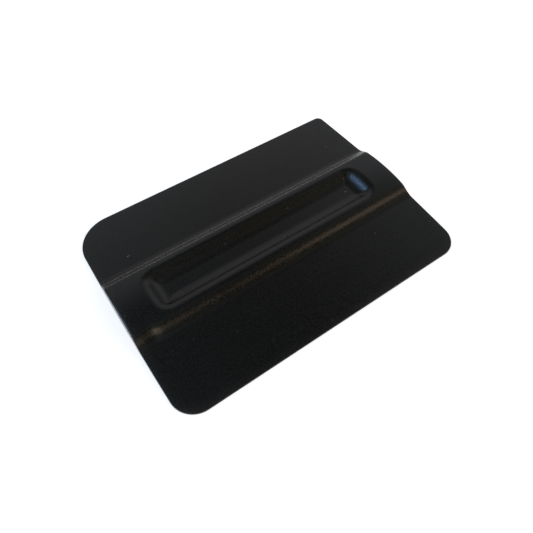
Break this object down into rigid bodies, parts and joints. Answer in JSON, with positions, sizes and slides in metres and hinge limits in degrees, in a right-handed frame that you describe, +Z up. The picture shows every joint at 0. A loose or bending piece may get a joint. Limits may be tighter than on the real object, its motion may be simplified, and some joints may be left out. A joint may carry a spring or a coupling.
{
  "type": "squeegee applicator",
  "caption": "Hard flat squeegee card with thin working edges, a raised grip band with a long shallow pocket, and magnets hidden in the ends of the grip.",
  "frame": {"origin": "under the middle of the card's box, on the plane of the flat underside", "axes": "+X along the two long working edges, +Y towards the long edge whose left corner is the roundest, +Z up out of the grip"},
  "size_m": [0.1, 0.072, 0.0045],
  "materials": {
    "card_plastic": "fine moulded satin texture",
    "magnet_plating": "nickel plate on a sintered magnet",
    "cured_glue": "cured clear amber adhesive",
    "cover_plastic": "thin black plastic disc"
  },
  "bodies": {
    "root": {"squeegee_body": "card_plastic", "magnet_left": "magnet_plating", "magnet_right": "magnet_plating", "magnet_glue_left": "cured_glue", "magnet_glue_right": "cured_glue", "magnet_cover_left": "cover_plastic", "magnet_cover_right": "cover_plastic"}
  },
  "joints": []
}
